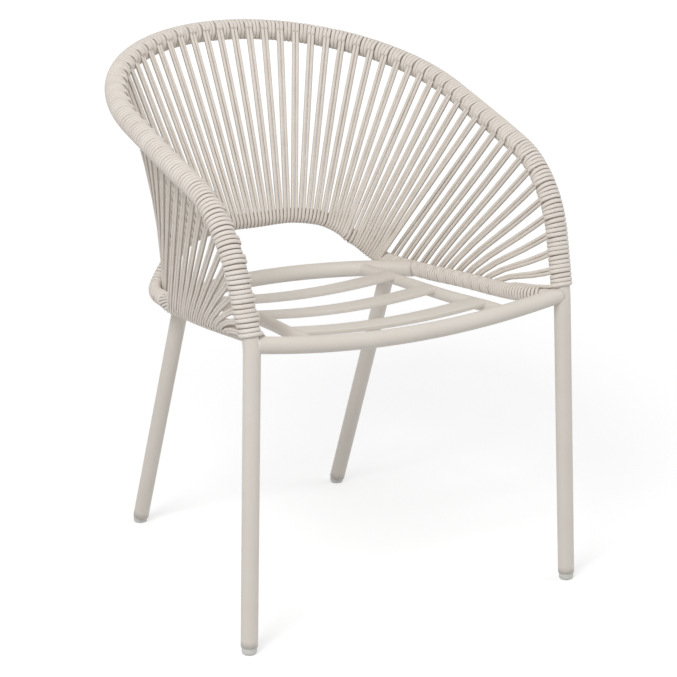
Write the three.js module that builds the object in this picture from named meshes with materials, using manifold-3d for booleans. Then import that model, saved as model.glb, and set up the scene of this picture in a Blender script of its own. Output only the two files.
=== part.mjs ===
// Corded tub armchair on a bent tube frame.
// Millimetres, +Z up, the chair faces -Y, +X is on the right of someone facing the chair.
// One tube makes the hoop of the arms and back and runs down into both front legs.
// A thinner rail, bent into a U with an upright arch at its back, carries the lower ends of the cord.
// Depths are counted from the plane of the front legs and grow towards the back.

import * as THREE from 'three';
import { mergeVertices } from 'three/addons/utils/BufferGeometryUtils.js';
import Module from 'manifold-3d';

const wasm = await Module();
wasm.setup();

// Stock and clearances
const tubeAcross = 22;
const rodAcross = 16;
const gap = 0.3;
const overrun = 30;

// Hoop and front legs
const armHalf = 243.6;
const backDeep = 532.2;
const backHigh = 687.4;
const armFrontHigh = 536.6;
const armBend = 150;
const frontLeanDegrees = 17.2;
const legBend = 60;
const seatHalf = 229;
const seatFrontHigh = 399;
const frontFootHalf = 242.6;
const frontFootLead = 9.2;
const spreadShare = 0.7;
const spreadEaseShare = 0.47;

// Front rail
const frontRailDip = 20.2;

// Lacing rail: side runs, rear corners and arch
const cornerHalf = 179;
const cornerHigh = 369;
const archHigh = 437;
const archDeep = 418;
const cornerBend = 30;
const archLeanShare = 0.61;
const sideInShares = [0, 0.42, 0.62, 0.66, 0.66, 0.7, 0.76, 0.78, 0.9];
const sideDeepShares = [0, 0.061, 0.157, 0.29, 0.452, 0.574, 0.659, 0.784, 0.88];
const sideDropShares = [0, 0.14, 0.28, 0.45, 0.63, 0.77, 0.87, 1, 1.03];
const archWideShares = [0.84, 0.79, 0.755, 0.69, 0.59, 0.49, 0.3];
const archDropShares = [0.6, 0.52, 0.41, 0.28, 0.147, 0.074, 0];

// Rear rail and rear legs
const rearRailDeep = 389;
const rearRailEndDeep = 293;
const rearRailDip = 8;
const rearLegHalf = 162;
const rearFootHalf = 163.2;
const rearFootDeep = 474.3;

// Inner rails and slats
const innerRearHalf = 133;
const innerFrontHalf = 141;
const innerDeepShares = [1, 0.72, 0.36, 0.24, 0.12, 0];
const innerWideShares = [0, 0, 0, 0.45, 0.95, 1];
const slatWide = 36;
const slatThick = 5.5;
const slatFirstDeep = 38;
const slatStep = 105.5;
const slatDip = 8;
const slatEdge = 1.2;
const notchRound = 5;

// Foot glides
const glideTall = 10;
const glideAcross = 19.6;
const glideEdge = 2.4;
const stemAcross = 15;
const stemLong = 14;

// Cord: how far it builds up the tube and the rail, and the free strands
const hoopCordBuild = 3.6;
const railCordBuild = 3;
const grooveDeep = 1.2;
const strandAcross = 4.9;
const turnPitch = 33;
const railTurnPitch = 35.4;
const tuckLong = 6;
const footShort = 6.5;
const railBareLong = 28;
const archCrownShare = 0.56;
const archLastShare = 0.95;
const sideFirstShare = 0.035;
const sideLastShare = 0.677;
const sinkShare = 0.62;

// Counts
const archPairCount = 14;
const sidePairCount = 9;
const tubeSideCount = 12;
const rodSideCount = 8;
const turnPointCount = 8;
const sectionEnds = [-23, -19, -15, -9, -4, 3, 8, 14, 18, 23];

const tubeRadius = tubeAcross / 2;
const rodRadius = rodAcross / 2;
const hoopCrest = tubeRadius + hoopCordBuild;
const railCrest = rodRadius + railCordBuild;

// Shapes shared by all pieces

const disc = (radius, sides) => {
  const shape = new THREE.Shape();
  for (let side = 0; side < sides; side++) {
    const turn = (2 * Math.PI * side) / sides;
    const x = radius * Math.cos(turn);
    const y = radius * Math.sin(turn);
    if (side === 0) shape.moveTo(x, y);
    else shape.lineTo(x, y);
  }
  shape.closePath();
  return shape;
};

// A route whose stations lie where its formula puts them, close together in bends and far apart between.
class Route extends THREE.Curve {
  constructor(place, stations) {
    super();
    this.place = place;
    this.stations = stations;
  }

  getPoint(t) {
    return this.place(Math.min(Math.max(t, 0), 1));
  }

  getUtoTmapping(u) {
    return u;
  }
}

const tube = (route, radius, sides) => new THREE.ExtrudeGeometry(disc(radius, sides), {
  steps: route.stations,
  curveSegments: sides,
  extrudePath: route,
  bevelEnabled: false,
});

const toSolid = (geometry) => {
  const bare = geometry.clone();
  bare.deleteAttribute('normal');
  bare.deleteAttribute('uv');
  const merged = mergeVertices(bare);
  return new wasm.Manifold(new wasm.Mesh({
    numProp: 3,
    vertProperties: new Float32Array(merged.attributes.position.array),
    triVerts: new Uint32Array(merged.index.array),
  }));
};

const toGeometry = (solid) => {
  const mesh = solid.getMesh();
  const geometry = new THREE.BufferGeometry();
  geometry.setAttribute('position', new THREE.BufferAttribute(mesh.vertProperties, 3));
  geometry.setIndex(new THREE.BufferAttribute(mesh.triVerts, 1));
  geometry.computeVertexNormals();
  return geometry;
};

const tubeSolid = (route, radius, sides) => toSolid(tube(route, radius, sides));

const straight = (from, to) => new Route((t) => from.clone().lerp(to, t), 1);

const grown = (radius, sides) => radius + gap / Math.cos(Math.PI / sides);

// Where a route comes at a given share of its own length, with its direction and a steady cross frame

const survey = (route, samples) => {
  const points = [];
  const lengths = [0];
  for (let i = 0; i <= samples; i++) {
    points.push(route.getPoint(i / samples));
    if (i > 0) lengths.push(lengths[i - 1] + points[i].distanceTo(points[i - 1]));
  }
  const tangents = points.map((point, i) => {
    const ahead = points[Math.min(i + 1, samples)];
    const behind = points[Math.max(i - 1, 0)];
    return ahead.clone().sub(behind).normalize();
  });
  const normals = [];
  const first = new THREE.Vector3(0, 0, 1);
  first.addScaledVector(tangents[0], -first.dot(tangents[0]));
  if (first.lengthSq() < 0.1) first.set(1, 0, 0).addScaledVector(tangents[0], -tangents[0].x);
  normals.push(first.normalize());
  for (let i = 1; i <= samples; i++) {
    const normal = normals[i - 1].clone().addScaledVector(tangents[i], -normals[i - 1].dot(tangents[i]));
    normals.push(normal.normalize());
  }
  const total = lengths[samples];
  const at = (length) => {
    const reach = Math.min(Math.max(length, 0), total);
    let high = samples;
    let low = 0;
    while (high - low > 1) {
      const middle = (high + low) >> 1;
      if (lengths[middle] > reach) high = middle;
      else low = middle;
    }
    const blend = (reach - lengths[low]) / (lengths[high] - lengths[low]);
    const tangent = tangents[low].clone().lerp(tangents[high], blend).normalize();
    const normal = normals[low].clone().lerp(normals[high], blend);
    normal.addScaledVector(tangent, -normal.dot(tangent)).normalize();
    return {
      point: points[low].clone().lerp(points[high], blend),
      tangent,
      normal,
      side: tangent.clone().cross(normal),
    };
  };
  return { at, total, points, lengths };
};

// Hoop: up the front leg, round the arm's bend, back along the arm and round the semicircle

const armSlope = (backHigh - armFrontHigh) / backDeep;
const armAngle = Math.atan(armSlope);
const frontLean = THREE.MathUtils.degToRad(frontLeanDegrees);
const leanDeep = Math.sin(frontLean);
const leanHigh = Math.cos(frontLean);
const climb = (armFrontHigh - seatFrontHigh) / (leanHigh - armSlope * leanDeep);
const bendTurn = Math.PI / 2 - armAngle - frontLean;
const bendReach = armBend * Math.tan(bendTurn / 2);
const roundDeep = backDeep - armHalf;
const rise = climb - bendReach;
const bendRun = armBend * bendTurn;
const armRun = (roundDeep - climb * leanDeep) / Math.cos(armAngle) - bendReach;
const spreadRun = (rise + bendRun + armRun) * spreadShare;

const sideProfile = (run) => {
  if (run <= rise) return { deep: run * leanDeep, high: seatFrontHigh + run * leanHigh };
  if (run <= rise + bendRun) {
    const turn = (run - rise) / armBend;
    const up = rise + armBend * Math.sin(turn);
    const over = armBend * (1 - Math.cos(turn));
    return { deep: up * leanDeep + over * leanHigh, high: seatFrontHigh + up * leanHigh - over * leanDeep };
  }
  const along = run - rise - bendRun + bendReach;
  return {
    deep: climb * leanDeep + along * Math.cos(armAngle),
    high: seatFrontHigh + climb * leanHigh + along * Math.sin(armAngle),
  };
};

const spreadAt = (run) => {
  const part = Math.min(run / spreadRun, 1);
  const eased = part * (1 + spreadEaseShare - spreadEaseShare * part);
  return seatHalf + (armHalf - seatHalf) * eased;
};

const frontFoot = new THREE.Vector3(frontFootHalf, -frontFootLead, 0);
const frontCorner = new THREE.Vector3(seatHalf, 0, seatFrontHigh);
const frontLegWay = frontCorner.clone().sub(frontFoot).normalize();
const frontLegEnd = frontFoot.clone().addScaledVector(frontLegWay, glideTall);

const kinkReach = legBend * Math.tan(frontLean / 2);
const roundSteps = 10;
const armSteps = 3;
const bendSteps = 8;
const kinkSteps = 2;
const legSteps = 1;
const armFrom = roundSteps;
const bendFrom = armFrom + armSteps;
const kinkFrom = bendFrom + bendSteps;
const legFrom = kinkFrom + kinkSteps;
const halfSteps = legFrom + legSteps;

const onSide = (run) => {
  const { deep, high } = sideProfile(run);
  return new THREE.Vector3(spreadAt(run), deep, high);
};

const legKink = new THREE.QuadraticBezierCurve3(
  onSide(kinkReach),
  frontCorner,
  frontCorner.clone().addScaledVector(frontLegWay, -kinkReach),
);

const hoopHalf = (step) => {
  if (step <= armFrom) {
    const turn = (Math.PI / 2) * (step / roundSteps);
    const deep = roundDeep + armHalf * Math.cos(turn);
    return new THREE.Vector3(armHalf * Math.sin(turn), deep, armFrontHigh + armSlope * deep);
  }
  if (step <= bendFrom) return onSide(rise + bendRun + armRun * (1 - (step - armFrom) / armSteps));
  if (step <= kinkFrom) {
    const part = (step - bendFrom) / bendSteps;
    return onSide(kinkReach + (rise + bendRun - kinkReach) * (1 - part));
  }
  if (step <= legFrom) return legKink.getPoint((step - kinkFrom) / kinkSteps);
  return legKink.v2.clone().lerp(frontLegEnd, (step - legFrom) / legSteps);
};

const hoopRoute = new Route((t) => {
  const point = hoopHalf(Math.abs(2 * t - 1) * halfSteps);
  if (t < 0.5) point.x = -point.x;
  return point;
}, 2 * halfSteps);

// Front rail: level ends on the legs and a shallow dip under the thighs

const frontRailHigh = (x) => seatFrontHigh - frontRailDip * (1 - (x / seatHalf) ** 2);

const frontRailRoute = new Route((t) => {
  const x = seatHalf * (2 * t - 1);
  return new THREE.Vector3(x, 0, frontRailHigh(x));
}, 12);

// Lacing rail: the right half from the leg to the corner and up to the crown of the arch, then mirrored

const cornerDeep = archDeep - archLeanShare * (archHigh - cornerHigh);
const corner = new THREE.Vector3(cornerHalf, cornerDeep, cornerHigh);

const sidePoints = sideInShares.map((inShare, i) => new THREE.Vector3(
  seatHalf - (seatHalf - cornerHalf) * inShare,
  cornerDeep * sideDeepShares[i],
  seatFrontHigh - (seatFrontHigh - cornerHigh) * sideDropShares[i],
));

const archPoints = archWideShares.map((wideShare, i) => {
  const drop = (archHigh - cornerHigh) * archDropShares[i];
  return new THREE.Vector3(cornerHalf * wideShare, archDeep - archLeanShare * drop, archHigh - drop);
});

const intoCorner = corner.clone().sub(sidePoints[sidePoints.length - 1]).normalize();
const outOfCorner = archPoints[0].clone().sub(corner).normalize();
const cornerTurn = intoCorner.angleTo(outOfCorner);
const cornerReach = cornerBend * Math.tan(cornerTurn / 2);
const cornerInward = outOfCorner.clone().sub(intoCorner).normalize();
const cornerPoints = [
  corner.clone().addScaledVector(intoCorner, -cornerReach),
  corner.clone().addScaledVector(cornerInward, cornerBend / Math.cos(cornerTurn / 2) - cornerBend),
  corner.clone().addScaledVector(outOfCorner, cornerReach),
];

const rightRail = [...sidePoints, ...cornerPoints, ...archPoints];
const leftRail = rightRail.map((point) => point.clone().setX(-point.x));
const crown = new THREE.Vector3(0, archDeep, archHigh);
const railPoints = [...leftRail, crown, ...rightRail.reverse()];
const railLine = new THREE.CatmullRomCurve3(railPoints, false, 'centripetal');
const railRoute = new Route((t) => railLine.getPoint(t), 2 * (railLine.points.length - 1));

// Rear rail: an arc in plan between the side runs

const railSurvey = survey(railRoute, 1200);

const sideRunAt = (deep) => {
  let index = railSurvey.points.length - 1;
  while (railSurvey.points[index].y < deep) index--;
  return railSurvey.points[index];
};

const rearRailSeat = sideRunAt(rearRailEndDeep);
const rearRailHalf = rearRailSeat.x;
const rearRailBow = rearRailDeep - rearRailEndDeep;
const rearRailRound = (rearRailHalf ** 2 + rearRailBow ** 2) / (2 * rearRailBow);
const rearRailAt = (x) => new THREE.Vector3(
  x,
  rearRailDeep - rearRailRound + Math.sqrt(rearRailRound ** 2 - x ** 2),
  rearRailSeat.z - rearRailDip * (1 - (x / rearRailHalf) ** 2),
);
const rearRailEnd = rearRailHalf - rodRadius / 2;
const rearRailRoute = new Route((t) => rearRailAt(rearRailEnd * (2 * t - 1)), 14);

// Rear legs: raked tubes under the rear rail's ends

const rearLegs = [-1, 1].map((hand) => {
  const top = rearRailAt(hand * rearLegHalf);
  const foot = new THREE.Vector3(hand * rearFootHalf, rearFootDeep, 0);
  const way = top.clone().sub(foot).normalize();
  return { top, foot, way, end: foot.clone().addScaledVector(way, glideTall) };
});

const frontLegs = [-1, 1].map((hand) => {
  const foot = frontFoot.clone().setX(hand * frontFoot.x);
  const way = frontLegWay.clone().setX(hand * frontLegWay.x);
  return { foot, way, end: foot.clone().addScaledVector(way, glideTall) };
});

// Inner rails: from the rear rail forward to the front rail, drawn apart near the front

const innerRear = rearRailAt(innerRearHalf);
const innerPoint = (hand, deepShare, wideShare) => new THREE.Vector3(
  hand * (innerRearHalf + (innerFrontHalf - innerRearHalf) * wideShare),
  innerRear.y * deepShare,
  frontRailHigh(innerFrontHalf) + (innerRear.z - frontRailHigh(innerFrontHalf)) * deepShare,
);
const innerRoutes = [-1, 1].map((hand) => {
  const points = innerDeepShares.map((deepShare, i) => innerPoint(hand, deepShare, innerWideShares[i]));
  const line = new THREE.CatmullRomCurve3(points, false, 'centripetal');
  return new Route((t) => line.getPoint(t), 2 * (points.length - 1));
});

const innerAt = (deep) => {
  let t = 0;
  while (t < 1 && innerRoutes[1].getPoint(t).y > deep) t += 1 / 400;
  return innerRoutes[1].getPoint(t);
};

// Frame solids

const hoopTube = tubeSolid(hoopRoute, tubeRadius, tubeSideCount);
const hoopCut = tubeSolid(hoopRoute, grown(tubeRadius, tubeSideCount), tubeSideCount);
const frontRailCut = tubeSolid(frontRailRoute, grown(tubeRadius, tubeSideCount), tubeSideCount);
const railBore = tubeSolid(railRoute, grown(rodRadius, rodSideCount), rodSideCount);
const rearRailCut = tubeSolid(rearRailRoute, grown(tubeRadius, tubeSideCount), tubeSideCount);
const innerGrown = grown(rodRadius, tubeSideCount);
const innerCuts = innerRoutes.map((route) => tubeSolid(route, innerGrown, tubeSideCount));

const legSocket = (leg) => tubeSolid(
  straight(
    leg.end.clone().addScaledVector(leg.way, -overrun),
    leg.end.clone().addScaledVector(leg.way, stemLong + gap),
  ),
  grown(stemAcross / 2, tubeSideCount),
  tubeSideCount,
);

const hoopSolid = frontLegs.reduce((solid, leg) => solid.subtract(legSocket(leg)), hoopTube);

const frontRail = tubeSolid(frontRailRoute, tubeRadius, tubeSideCount).subtract(hoopCut);

const lacingRail = tubeSolid(railRoute, rodRadius, rodSideCount).subtract(hoopCut).subtract(frontRailCut);

const rearRail = tubeSolid(rearRailRoute, tubeRadius, tubeSideCount).subtract(railBore);

const rearLegSolid = (leg) => {
  const top = leg.top.clone().addScaledVector(leg.way, -tubeRadius / 3);
  return tubeSolid(straight(leg.end, top), tubeRadius, tubeSideCount)
    .subtract(rearRailCut)
    .subtract(legSocket(leg));
};

const innerRail = (route) => tubeSolid(route, rodRadius, tubeSideCount)
  .subtract(frontRailCut)
  .subtract(rearRailCut);

// A glide: a rounded plug in line with its leg, cut level where it stands

const glide = (leg) => {
  const half = glideAcross / 2;
  const profile = [
    new THREE.Vector2(0, -overrun),
    new THREE.Vector2(half - glideEdge, -overrun),
    new THREE.Vector2(half - glideEdge, 0),
    new THREE.Vector2(half - glideEdge * 0.3, glideEdge * 0.7),
    new THREE.Vector2(half, glideEdge * 1.7),
    new THREE.Vector2(half, glideTall - gap - glideEdge * 0.4),
    new THREE.Vector2(half - glideEdge * 0.4, glideTall - gap),
    new THREE.Vector2(stemAcross / 2, glideTall - gap),
    new THREE.Vector2(stemAcross / 2, glideTall + stemLong * 0.8),
    new THREE.Vector2(stemAcross * 0.4, glideTall + stemLong),
    new THREE.Vector2(0, glideTall + stemLong),
  ];
  const lathe = new THREE.LatheGeometry(profile, tubeSideCount);
  lathe.rotateX(Math.PI / 2);
  const turn = new THREE.Quaternion().setFromUnitVectors(new THREE.Vector3(0, 0, 1), leg.way);
  lathe.applyQuaternion(turn);
  lathe.translate(leg.foot.x, leg.foot.y, leg.foot.z);
  const floor = new THREE.BoxGeometry(4 * overrun, 4 * overrun, 2 * overrun);
  floor.translate(leg.foot.x, leg.foot.y, -overrun);
  return toSolid(lathe).subtract(toSolid(floor));
};

// A slat: flat bar dished across the seat, its ends coped to the inner rails

const slat = (frontDeep) => {
  const middleDeep = frontDeep + slatWide / 2;
  const seat = innerAt(middleDeep);
  const ahead = innerAt(frontDeep);
  const behind = innerAt(frontDeep + slatWide);
  const half = seat.x - rodRadius / 4;
  const divisions = 12;
  const outline = new THREE.Shape();
  for (let i = 0; i <= divisions; i++) {
    const x = half * (2 * (i / divisions) - 1);
    const low = -slatThick - slatDip * (1 - (x / half) ** 2);
    if (i === 0) outline.moveTo(x, low + slatEdge);
    else outline.lineTo(x, low + slatEdge);
  }
  for (let i = divisions; i >= 0; i--) {
    const x = half * (2 * (i / divisions) - 1);
    outline.lineTo(x, -slatEdge - slatDip * (1 - (x / half) ** 2));
  }
  outline.closePath();
  const bar = new THREE.ExtrudeGeometry(outline, {
    depth: slatWide - 2 * slatEdge,
    steps: 1,
    bevelEnabled: true,
    bevelSize: slatEdge,
    bevelThickness: slatEdge,
    bevelSegments: 1,
  });
  bar.translate(0, 0, -slatWide / 2 + slatEdge);
  bar.rotateX(Math.PI / 2);
  bar.rotateX(-Math.atan2(ahead.z - behind.z, behind.y - ahead.y));
  bar.translate(0, seat.y, seat.z + rodRadius);
  const notches = [-1, 1].map((hand) => tubeSolid(
    straight(
      new THREE.Vector3(hand * (half - notchRound), frontDeep, seat.z - overrun),
      new THREE.Vector3(hand * (half - notchRound), frontDeep, seat.z + overrun),
    ),
    notchRound,
    tubeSideCount,
  ));
  return [...innerCuts, ...notches].reduce((solid, cut) => solid.subtract(cut), toSolid(bar));
};

// Cord wound close round a tube: a sleeve whose outside is one helical ridge from end to end.
// The ridge is a crest line and a valley line half a turn apart, joined by flat faces.

const winding = (line, from, to, crest, pitch) => {
  const valley = crest - grooveDeep;
  const steps = Math.ceil(((to - from) / pitch) * turnPointCount);
  const advance = pitch / turnPointCount;
  const positions = [];
  const spot = (step, ahead, radius) => {
    const { point, normal, side } = line.at(from + advance * step + ahead);
    const turn = (2 * Math.PI * step) / turnPointCount;
    point.addScaledVector(normal, radius * Math.cos(turn));
    point.addScaledVector(side, radius * Math.sin(turn));
    positions.push(point.x, point.y, point.z);
  };
  for (let step = 0; step <= steps + turnPointCount; step++) spot(step, 0, crest);
  const valleyStart = steps + turnPointCount + 1;
  for (let step = 0; step <= steps; step++) spot(step, pitch / 2, valley);
  const faces = [];
  for (let step = 0; step < steps; step++) {
    const low = valleyStart + step;
    const next = step + turnPointCount;
    faces.push(step, step + 1, low + 1, step, low + 1, low);
    faces.push(low, low + 1, next + 1, low, next + 1, next);
  }
  const startPoint = line.at(from).point;
  const endPoint = line.at(from + advance * (steps + turnPointCount)).point;
  const start = positions.length / 3;
  positions.push(startPoint.x, startPoint.y, startPoint.z);
  const end = start + 1;
  positions.push(endPoint.x, endPoint.y, endPoint.z);
  for (let step = 0; step < turnPointCount; step++) {
    faces.push(start, step + 1, step);
    faces.push(end, steps + step, steps + step + 1);
  }
  faces.push(start, valleyStart, turnPointCount, start, 0, valleyStart);
  faces.push(end, valleyStart + steps, steps, end, steps + turnPointCount, valleyStart + steps);
  const geometry = new THREE.BufferGeometry();
  geometry.setAttribute('position', new THREE.BufferAttribute(new Float32Array(positions), 3));
  geometry.setIndex(faces);
  return toSolid(geometry);
};

// The cord's stations: where each pair of strands leaves the hoop and where it meets the rail

const hoopSurvey = survey(hoopRoute, 2400);
const windEndHigh = seatFrontHigh + tubeRadius + gap;
const windHalf = hoopSurvey.total / 2 - hoopSurvey.lengths[
  hoopSurvey.points.findIndex((point) => point.z > windEndHigh)
];
const lastPair = archPairCount + sidePairCount;
const pairStep = (windHalf - strandAcross) / (lastPair + 0.25);
const archRun = railSurvey.lengths[railSurvey.points.reduce(
  (best, point, i, all) => (point.distanceTo(corner) < all[best].distanceTo(corner) ? i : best),
  0,
)];
const archHalf = Math.abs(railSurvey.total / 2 - archRun);
const sideRun = railSurvey.total / 2 - archHalf;

const railShift = (pair) => {
  const order = Math.abs(pair);
  const hand = Math.sign(pair);
  const middle = archPairCount / 2;
  if (order <= middle) return hand * archHalf * archCrownShare * (order / middle);
  if (order <= archPairCount) {
    const part = (order - middle) / (archPairCount - middle);
    return hand * archHalf * (archCrownShare + (archLastShare - archCrownShare) * part);
  }
  const part = (order - archPairCount - 1) / (sidePairCount - 1);
  return hand * (archHalf + sideRun * (sideFirstShare + (sideLastShare - sideFirstShare) * part));
};

// Strand n runs from -lastPair to lastPair in half steps: each pair's two strands lie a quarter step apart
const strandOrder = [];
for (let pair = -lastPair; pair <= lastPair; pair++) strandOrder.push([pair, -1], [pair, 1]);

const middlePoint = new THREE.Vector3(0, roundDeep - armHalf / 2, 0);
const inwardAt = (point) => middlePoint.clone().sub(point).setZ(0).normalize();

const strandLine = ([pair, twin]) => {
  const hoop = hoopSurvey.at(hoopSurvey.total / 2 + pair * pairStep + (twin * pairStep) / 8);
  const near = railShift(pair + twin * 0.5) - railShift(pair);
  const step = Math.sign(near) * Math.min(Math.abs(near) / 2, strandAcross);
  const rail = railSurvey.at(railSurvey.total / 2 + railShift(pair) + step);
  const overArch = Math.abs(pair) <= archPairCount;
  let way = rail.point.clone().sub(hoop.point).normalize();
  let top = hoop.point;
  let foot = rail.point;
  for (let turn = 0; turn < 4; turn++) {
    const hoopOut = hoop.tangent.clone().cross(way).normalize();
    if (hoopOut.dot(inwardAt(hoop.point)) < 0) hoopOut.negate();
    const railOut = rail.tangent.clone().cross(way).normalize();
    if (railOut.dot(inwardAt(rail.point)) < 0 === overArch) railOut.negate();
    top = hoop.point.clone().addScaledVector(hoopOut, hoopCrest + gap + strandAcross / 2);
    foot = rail.point.clone().addScaledVector(railOut, railCrest * sinkShare);
    way = foot.clone().sub(top).normalize();
  }
  top = top.clone().addScaledVector(way, -tuckLong);
  foot = foot.clone().addScaledVector(way, -footShort);
  return { top, foot, way, across: rail.tangent };
};

// A free strand: a four-sided prism with a flat turned to its neighbours

const strand = ({ top, foot, way, across }) => {
  const side = across.clone().addScaledVector(way, -across.dot(way)).normalize();
  const face = way.clone().cross(side);
  const length = top.distanceTo(foot);
  const prism = new THREE.CylinderGeometry(strandAcross / 2, strandAcross / 2, length, 4, 1);
  prism.rotateY(Math.PI / 4);
  prism.applyMatrix4(new THREE.Matrix4().makeBasis(side, way, face.negate()));
  prism.translate((top.x + foot.x) / 2, (top.y + foot.y) / 2, (top.z + foot.z) / 2);
  return toSolid(prism);
};

const strandLines = strandOrder.map(strandLine);

// A cut plane between two neighbouring strands, lying along them

const cutBlock = (pair, outward) => {
  const index = strandOrder.findIndex(([one, twin]) => one === pair && twin === 1);
  const before = strandLines[index];
  const after = strandLines[index + 1];
  const way = before.way.clone().add(after.way).normalize();
  const across = before.across.clone().add(after.across);
  across.addScaledVector(way, -across.dot(way)).normalize();
  const face = way.clone().cross(across);
  const size = 4 * overrun;
  const block = new THREE.BoxGeometry(size, size, size);
  block.applyMatrix4(new THREE.Matrix4().makeBasis(across, way, face.negate()));
  const centre = before.foot.clone().add(after.foot).multiplyScalar(0.5);
  centre.addScaledVector(across, outward * (size / 2 - gap / 2));
  block.translate(centre.x, centre.y, centre.z);
  return toSolid(block);
};

// A square end across a winding, taken off on the outward side

const squareEnd = (line, length, outward, crest) => {
  const { point, tangent, normal, side } = line.at(length);
  const block = new THREE.BoxGeometry(3 * crest, 3 * crest, 2 * overrun);
  block.applyMatrix4(new THREE.Matrix4().makeBasis(normal, side, tangent));
  const centre = point.addScaledVector(tangent, outward * overrun);
  block.translate(centre.x, centre.y, centre.z);
  return toSolid(block);
};

// Sections of the lacing: a stretch of turns on the rail with the strands that end on it

const section = (first, last) => {
  const middle = railSurvey.total / 2;
  const atStart = first === -lastPair;
  const atEnd = last === lastPair;
  const from = atStart
    ? railBareLong - railTurnPitch / 2
    : middle + railShift(first - 0.5) - railTurnPitch * 1.2;
  const to = atEnd
    ? railSurvey.total - railBareLong - railTurnPitch / 2
    : middle + railShift(last + 0.5) + railTurnPitch * 0.2;
  let solid = winding(railSurvey, from, to, railCrest, railTurnPitch);
  strandOrder.forEach(([pair], i) => {
    if (pair >= first && pair <= last) solid = solid.add(strand(strandLines[i]));
  });
  solid = solid.subtract(atStart
    ? squareEnd(railSurvey, railBareLong, -1, railCrest)
    : cutBlock(first - 1, -1));
  solid = solid.subtract(atEnd
    ? squareEnd(railSurvey, railSurvey.total - railBareLong, 1, railCrest)
    : cutBlock(last, 1));
  return solid.subtract(railBore).subtract(rearRailCut).subtract(hoopCut).subtract(frontRailCut);
};

const hoopMiddle = hoopSurvey.total / 2;
const hoopWinding = winding(
  hoopSurvey,
  hoopMiddle - windHalf - turnPitch,
  hoopMiddle + windHalf,
  hoopCrest,
  turnPitch,
)
  .subtract(squareEnd(hoopSurvey, hoopMiddle - windHalf, -1, hoopCrest))
  .subtract(squareEnd(hoopSurvey, hoopMiddle + windHalf, 1, hoopCrest))
  .subtract(hoopCut);

// The finished pieces

const frameLook = { color: 0xd3ccc2, roughness: 0.55, metalness: 0.1 };
const cordLook = { color: 0xcac2b6, roughness: 0.85, metalness: 0 };
const glideLook = { color: 0xdcdcd8, roughness: 0.5, metalness: 0 };

const chair = new THREE.Group();
chair.name = 'corded_armchair';

const piece = (name, solid, look) => {
  const mesh = new THREE.Mesh(toGeometry(solid), new THREE.MeshStandardMaterial(look));
  mesh.name = name;
  chair.add(mesh);
};

piece('hoop_tube', hoopSolid, frameLook);
piece('front_rail', frontRail, frameLook);
piece('rear_rail', rearRail, frameLook);
piece('lacing_rail', lacingRail, frameLook);
piece('rear_leg_left', rearLegSolid(rearLegs[0]), frameLook);
piece('rear_leg_right', rearLegSolid(rearLegs[1]), frameLook);
piece('inner_rail_left', innerRail(innerRoutes[0]), frameLook);
piece('inner_rail_right', innerRail(innerRoutes[1]), frameLook);
piece('seat_slat_front', slat(slatFirstDeep), frameLook);
piece('seat_slat_middle', slat(slatFirstDeep + slatStep), frameLook);
piece('seat_slat_rear', slat(slatFirstDeep + 2 * slatStep), frameLook);
piece('foot_glide_front_left', glide(frontLegs[0]), glideLook);
piece('foot_glide_front_right', glide(frontLegs[1]), glideLook);
piece('foot_glide_rear_left', glide(rearLegs[0]), glideLook);
piece('foot_glide_rear_right', glide(rearLegs[1]), glideLook);
piece('hoop_winding', hoopWinding, cordLook);

const sectionNames = [
  'lacing_side_front_left',
  'lacing_side_rear_left',
  'lacing_back_outer_left',
  'lacing_back_inner_left',
  'lacing_back_centre',
  'lacing_back_inner_right',
  'lacing_back_outer_right',
  'lacing_side_rear_right',
  'lacing_side_front_right',
];
sectionNames.forEach((name, i) => {
  const first = i === 0 ? sectionEnds[0] : sectionEnds[i] + 1;
  piece(name, section(first, sectionEnds[i + 1]), cordLook);
});

// Neighbouring turns and strands keep clear of each other over their free length

const nearest = new THREE.Vector3();
const freeGaps = strandLines.slice(1).map((line, i) => {
  const before = new THREE.Line3(strandLines[i].top, strandLines[i].foot);
  const clear = [0, 0.2, 0.4, 0.6, 0.8].map((share) => {
    const point = line.top.clone().lerp(line.foot, share);
    return before.closestPointToPoint(point, true, nearest).distanceTo(point);
  });
  return Math.min(...clear) - strandAcross * Math.SQRT1_2;
});
const freeGap = Math.min(...freeGaps);
console.log(`least free gap between neighbouring strands ${freeGap.toFixed(2)} mm`);
console.log(`turns of the hoop's ridge lie ${turnPitch.toFixed(1)} mm apart, crest to crest`);
console.log(`turns of the rail's ridge lie ${railTurnPitch.toFixed(1)} mm apart, crest to crest`);

const bounds = new THREE.Box3().setFromObject(chair);
chair.position.set(0, -(bounds.min.y + bounds.max.y) / 2, -bounds.min.z);

export default chair;
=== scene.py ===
# %% [markdown]
# # A corded tub armchair
# One hoop of steel tube, painted a warm off-white, makes the front legs, the arms and the top of the
# back. One long cord is wound round it and laced down to a second, lower rail.
# The lesson builds it the way a workshop does: bend the tubes, weld on the slats, then wind the cord.
#
# First the imported CAD model comes in as the fixed frame. The finished pieces may not grow past it
# by more than a soft cord would.

# %% Load the fixed frame
import math

import bmesh
import bpy
import numpy as np
from mathutils import Matrix, Vector


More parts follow.
